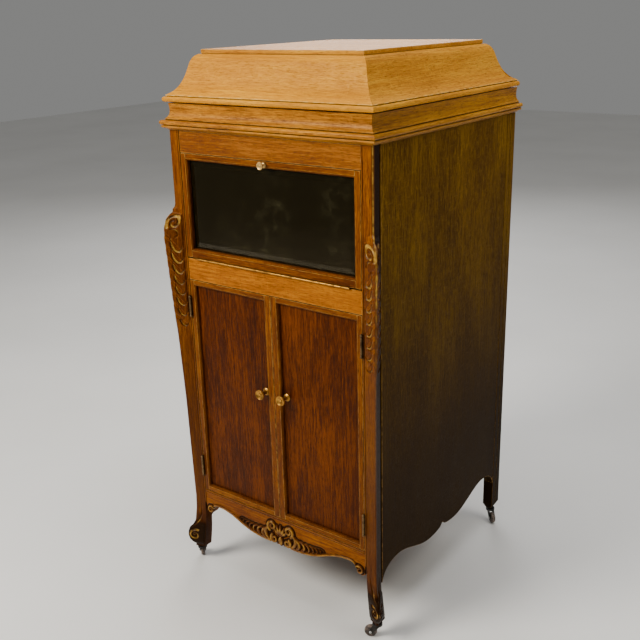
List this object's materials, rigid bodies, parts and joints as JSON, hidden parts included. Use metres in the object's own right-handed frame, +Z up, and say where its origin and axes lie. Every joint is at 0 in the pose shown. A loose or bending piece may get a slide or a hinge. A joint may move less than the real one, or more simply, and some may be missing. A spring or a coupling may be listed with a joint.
{
  "type": "wind up phonograph",
  "caption": "Upright wind-up phonograph in an oak cabinet with a hinged ogee lid, drop-front glass over the horn, record doors, carved legs and casters.",
  "frame": {"origin": "bottom centre of the bounding box, on the floor under the casters", "axes": "+Z up, the doors face -Y, +X to the right when facing the doors"},
  "size_m": [0.65, 0.6, 1.19],
  "materials": {
    "oak_frame": "semi-gloss varnish, amber brown",
    "oak_light": "semi-gloss varnish, honey brown",
    "oak_panel": "semi-gloss varnish, red brown",
    "oak_side": "semi-gloss varnish, olive brown",
    "inner_wood": "plain stained wood",
    "handle_wood": "polished ebonised wood",
    "caster_wheel": "worn hardwood tread",
    "brass": "aged brass",
    "steel": "satin",
    "iron": "black japanned",
    "nickel": "nickel plate",
    "glass": "bevelled clear glass",
    "felt": "green felt"
  },
  "bodies": {
    "case": {"front_post_left": "oak_frame", "front_post_right": "oak_frame", "back_leg_left": "oak_side", "back_leg_right": "oak_side", "side_panel_left": "oak_side", "side_panel_right": "oak_side", "back_panel": "inner_wood", "bottom_board": "inner_wood", "record_shelf": "inner_wood", "horn_shelf": "inner_wood", "top_rail": "oak_frame", "mid_rail": "oak_light", "apron": "oak_frame", "cornice_front": "oak_frame", "cornice_left": "oak_frame", "cornice_right": "oak_frame", "motor_board": "oak_light", "motor_frame": "iron", "horn": "inner_wood", "horn_throat": "iron", "lid_hinge": "brass", "crank_escutcheon": "brass"},
    "lid": {"lid_top_board": "oak_light", "lid_front_board": "oak_light", "lid_back_board": "oak_light", "lid_left_board": "oak_light", "lid_right_board": "oak_light"},
    "glass_door": {"glass_door_frame": "oak_frame", "glass_pane": "glass", "glass_door_knob": "brass", "glass_door_hinge": "brass"},
    "left_door": {"left_door_frame": "oak_light", "left_door_panel": "oak_panel", "left_door_knob": "brass", "left_door_upper_hinge": "brass", "left_door_lower_hinge": "brass"},
    "right_door": {"right_door_frame": "oak_light", "right_door_panel": "oak_panel", "right_door_knob": "brass", "right_door_upper_hinge": "brass", "right_door_lower_hinge": "brass"},
    "front_left_caster": {"front_left_caster_fork": "iron"},
    "front_left_wheel": {"front_left_caster_wheel": "caster_wheel"},
    "front_right_caster": {"front_right_caster_fork": "iron"},
    "front_right_wheel": {"front_right_caster_wheel": "caster_wheel"},
    "back_left_caster": {"back_left_caster_fork": "iron"},
    "back_left_wheel": {"back_left_caster_wheel": "caster_wheel"},
    "back_right_caster": {"back_right_caster_fork": "iron"},
    "back_right_wheel": {"back_right_caster_wheel": "caster_wheel"},
    "turntable": {"turntable": "nickel", "turntable_spindle": "steel"},
    "spring_barrel": {"spring_barrel": "brass"},
    "winding_wheel": {"winding_wheel": "brass"},
    "governor": {"governor": "brass"},
    "crank": {"crank": "nickel"},
    "crank_handle": {"crank_handle": "handle_wood"},
    "brake_lever": {"brake_lever": "nickel"},
    "speed_lever": {"speed_lever": "nickel"},
    "tonearm": {"tonearm": "nickel"},
    "soundbox": {"soundbox": "nickel"}
  },
  "joints": [
    {"name": "lid_open", "type": "hinge", "parent": "case", "child": "lid", "pos_m": [0.049, 0.297, 1.0879], "axis": [-1, 0, 0], "range_deg": [0, 85]},
    {"name": "glass_door_drop", "type": "hinge", "parent": "case", "child": "glass_door", "pos_m": [0.049, -0.2796, 0.7644], "axis": [1, 0, 0], "range_deg": [0, 90]},
    {"name": "left_door_swing", "type": "hinge", "parent": "case", "child": "left_door", "pos_m": [-0.1772, -0.28, 0.455], "axis": [0, 0, -1], "range_deg": [0, 110]},
    {"name": "right_door_swing", "type": "hinge", "parent": "case", "child": "right_door", "pos_m": [0.2752, -0.28, 0.455], "axis": [0, 0, 1], "range_deg": [0, 110]},
    {"name": "front_left_caster_swivel", "type": "hinge", "parent": "case", "child": "front_left_caster", "pos_m": [-0.206, -0.274, 0.036], "axis": [0, 0, 1], "continuous": true},
    {"name": "front_left_wheel_roll", "type": "hinge", "parent": "front_left_caster", "child": "front_left_wheel", "pos_m": [-0.21624, -0.26446, 0.0135], "axis": [-0.6816, -0.7317, 0], "continuous": true},
    {"name": "front_right_caster_swivel", "type": "hinge", "parent": "case", "child": "front_right_caster", "pos_m": [0.304, -0.274, 0.036], "axis": [0, 0, 1], "continuous": true},
    {"name": "front_right_wheel_roll", "type": "hinge", "parent": "front_right_caster", "child": "front_right_wheel", "pos_m": [0.29137, -0.28004, 0.0135], "axis": [0.4311, -0.9023, 0], "continuous": true},
    {"name": "back_left_caster_swivel", "type": "hinge", "parent": "case", "child": "back_left_caster", "pos_m": [-0.1913, 0.275, 0.036], "axis": [0, 0, 1], "continuous": true},
    {"name": "back_left_wheel_roll", "type": "hinge", "parent": "back_left_caster", "child": "back_left_wheel", "pos_m": [-0.1997, 0.2862, 0.0135], "axis": [-0.8, -0.6, 0], "continuous": true},
    {"name": "back_right_caster_swivel", "type": "hinge", "parent": "case", "child": "back_right_caster", "pos_m": [0.2893, 0.275, 0.036], "axis": [0, 0, 1], "continuous": true},
    {"name": "back_right_wheel_roll", "type": "hinge", "parent": "back_right_caster", "child": "back_right_wheel", "pos_m": [0.29981, 0.26575, 0.0135], "axis": [0.6606, 0.7507, 0], "continuous": true},
    {"name": "turntable_spin", "type": "hinge", "parent": "case", "child": "turntable", "pos_m": [0.041, -0.019, 1.078], "axis": [0, 0, -1], "continuous": true},
    {"name": "spring_barrel_turn", "type": "hinge", "parent": "case", "child": "spring_barrel", "pos_m": [-0.0115, -0.019, 0.978], "axis": [0, 0, -1], "continuous": true},
    {"name": "governor_spin", "type": "hinge", "parent": "case", "child": "governor", "pos_m": [0.0625, -0.019, 1.026], "axis": [0, 1, 0], "continuous": true},
    {"name": "crank_turn", "type": "hinge", "parent": "case", "child": "crank", "pos_m": [-0.204, -0.019, 1.012], "axis": [1, 0, 0], "continuous": true},
    {"name": "winding_wheel_turn", "type": "hinge", "parent": "case", "child": "winding_wheel", "pos_m": [-0.0115, -0.019, 1.001], "axis": [0, 0, -1], "continuous": true},
    {"name": "crank_handle_spin", "type": "hinge", "parent": "crank", "child": "crank_handle", "pos_m": [-0.286, -0.019, 0.872], "axis": [1, 0, 0], "continuous": true},
    {"name": "brake_lever_turn", "type": "hinge", "parent": "case", "child": "brake_lever", "pos_m": [0.1735, -0.1215, 1.064], "axis": [0, 0, 1], "range_deg": [0, 20]},
    {"name": "speed_lever_turn", "type": "hinge", "parent": "case", "child": "speed_lever", "pos_m": [-0.101, -0.185, 1.064], "axis": [0, 0, 1], "range_deg": [-30, 30]},
    {"name": "tonearm_swing", "type": "hinge", "parent": "case", "child": "tonearm", "pos_m": [0.178, 0.181, 1.08], "axis": [0, 0, -1], "range_deg": [0, 35]},
    {"name": "soundbox_turn", "type": "hinge", "parent": "tonearm", "child": "soundbox", "pos_m": [0.22632, -0.05861, 1.122], "axis": [-0.9903, -0.1392, 0], "range_deg": [0, 80]}
  ],
  "couplings": [
    {"joint": "spring_barrel_turn", "follows": "turntable_spin", "ratio": -0.16667},
    {"joint": "governor_spin", "follows": "turntable_spin", "ratio": 9},
    {"joint": "winding_wheel_turn", "follows": "crank_turn", "ratio": 0.33333}
  ]
}
